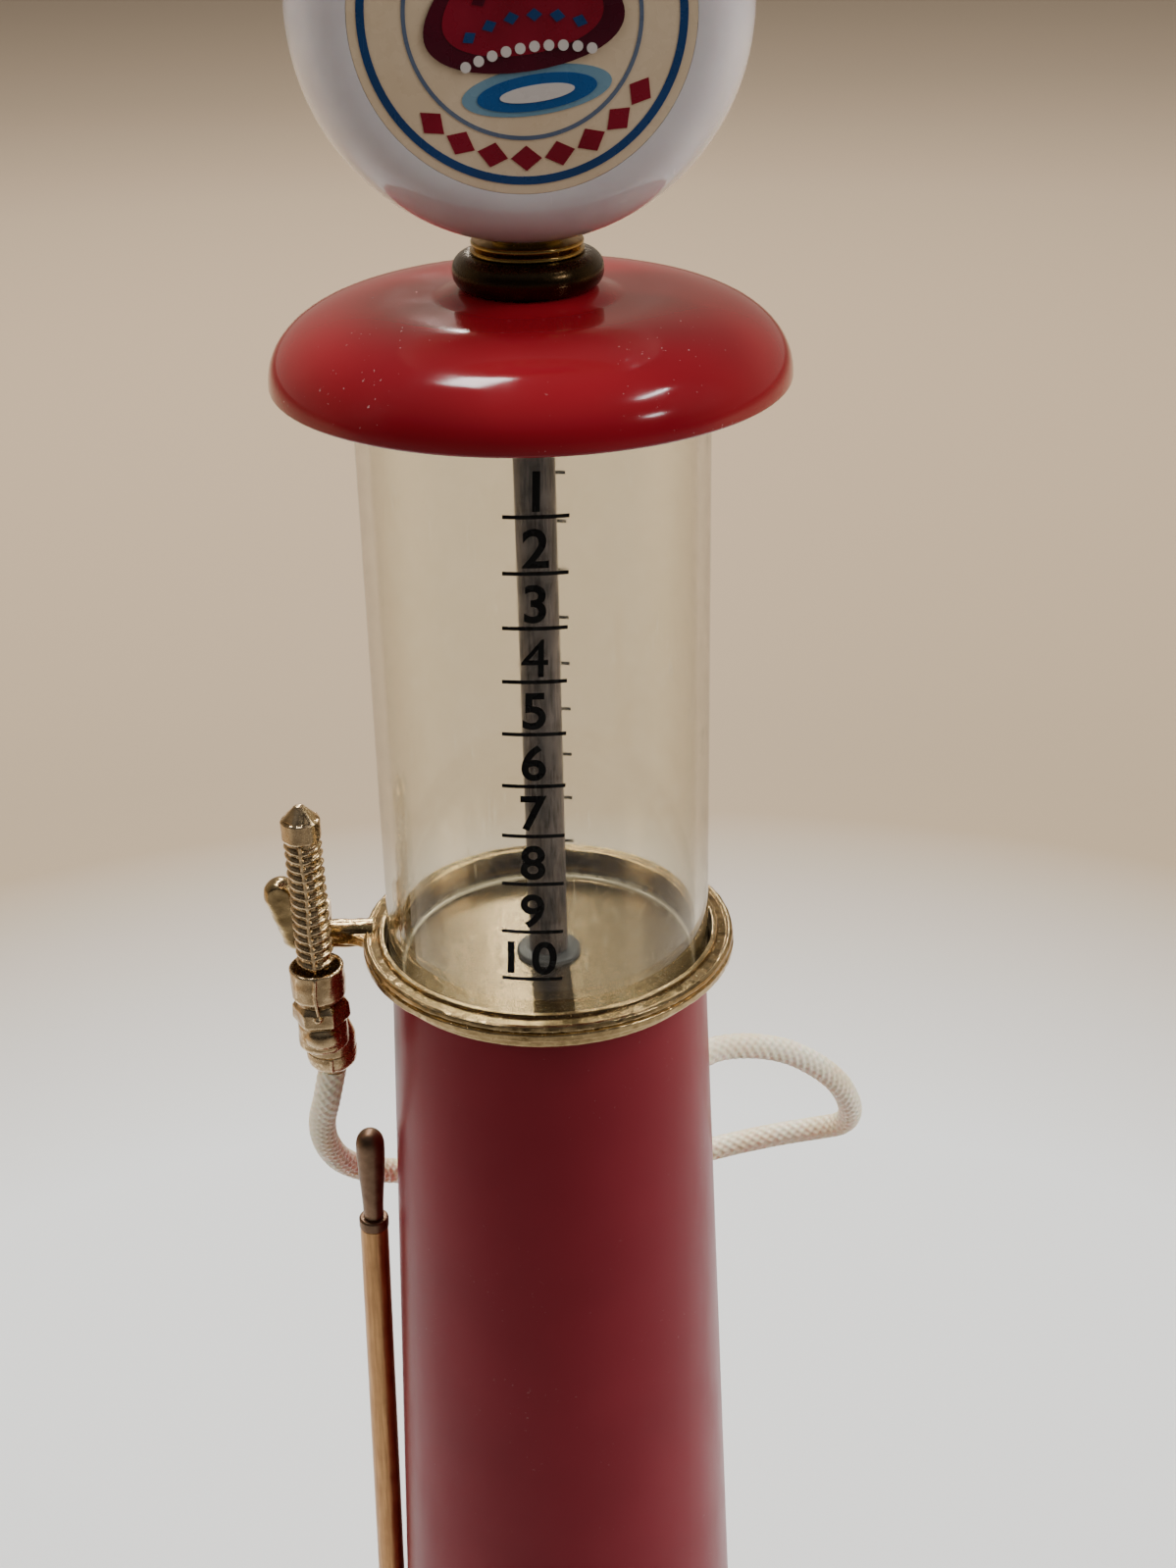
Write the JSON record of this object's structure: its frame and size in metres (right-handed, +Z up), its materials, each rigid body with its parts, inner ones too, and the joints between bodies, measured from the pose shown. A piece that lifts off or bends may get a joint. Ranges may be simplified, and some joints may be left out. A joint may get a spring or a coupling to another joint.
{
  "type": "miniature visible gas pump",
  "caption": "Miniature visible gas pump: tapered column, clear fuel cylinder with a gauge, domed cap, round globe that turns, hand lever, hanging nozzle and hose.",
  "frame": {"origin": "centre of the underside of the pad under the foot, on the surface that the pump stands on", "axes": "+Z up along the column; -Y towards the person who faces the globe and the gauge; +X to that person's right, so the nozzle and the lever are at -X"},
  "size_m": [0.0578, 0.0582, 0.216],
  "materials": {
    "pad_rubber": "matte rubber",
    "plate_steel": "plain zinc-plated steel",
    "red_foot": "gloss red enamel",
    "red_column": "gloss red enamel, slightly darker than the cap",
    "red_cap": "deep gloss red enamel",
    "cast_gold": "gold-plated casting, bright, with a faintly rough cast skin",
    "floor_gold": "dull gold with a brushed haze",
    "clear_acrylic": "clear, faintly yellow",
    "seal_clear": "milky plastic",
    "pipe_steel": "dull streaked steel",
    "grommet_rubber": "dark rubber",
    "neck_bronze": "antique brass, dark",
    "neck_brass": "old brass, polished",
    "globe_white": "glossy opal white",
    "lens_print": "cream printed disc",
    "hose_braid": "translucent off-white braided plastic",
    "lever_brass": "gold-plated rod",
    "knob_bronze": "olive bronze"
  },
  "bodies": {
    "pump": {"base_pad": "pad_rubber", "base_plate": "plate_steel", "base_screws": "plate_steel", "foot": "red_foot", "clamp_washer": "plate_steel", "clamp_nut": "plate_steel", "column": "red_column", "collar": "cast_gold", "floor_plate": "floor_gold", "tube_seal": "seal_clear", "fuel_cylinder": "clear_acrylic", "standpipe": "pipe_steel", "pipe_grommet": "grommet_rubber", "cap_gasket": "grommet_rubber", "cap": "red_cap", "neck_ring": "neck_bronze", "neck_sleeve": "neck_brass", "hose": "hose_braid", "outlet_flange": "cast_gold", "outlet_nipple": "cast_gold", "outlet_ferrule": "cast_gold", "lever_boss": "lever_brass", "lever_pin": "lever_brass", "lever_washer": "plate_steel", "lever_stop": "lever_brass"},
    "globe": {"globe_stem": "neck_brass", "globe_body": "globe_white", "lens_front": "lens_print", "lens_back": "lens_print"},
    "nozzle": {"nozzle_tip": "cast_gold", "nozzle_barrel": "cast_gold", "nozzle_valve": "cast_gold", "nozzle_lug": "cast_gold", "nozzle_elbow": "cast_gold", "nozzle_ferrule": "cast_gold"},
    "lever": {"lever_rod": "lever_brass", "lever_ferrule": "knob_bronze", "lever_knob": "knob_bronze"}
  },
  "joints": [
    {"name": "globe_turn", "type": "hinge", "parent": "pump", "child": "globe", "pos_m": [0, 0, 0.2006], "axis": [0, 0, 1], "continuous": true},
    {"name": "nozzle_lift", "type": "slide", "parent": "pump", "child": "nozzle", "axis": [0, 0, 1], "range_m": [0, 0.005]},
    {"name": "lever_swing", "type": "hinge", "parent": "pump", "child": "lever", "pos_m": [-0.0168, 0, 0.05], "axis": [1, 0, 0], "range_deg": [0, 75]}
  ]
}
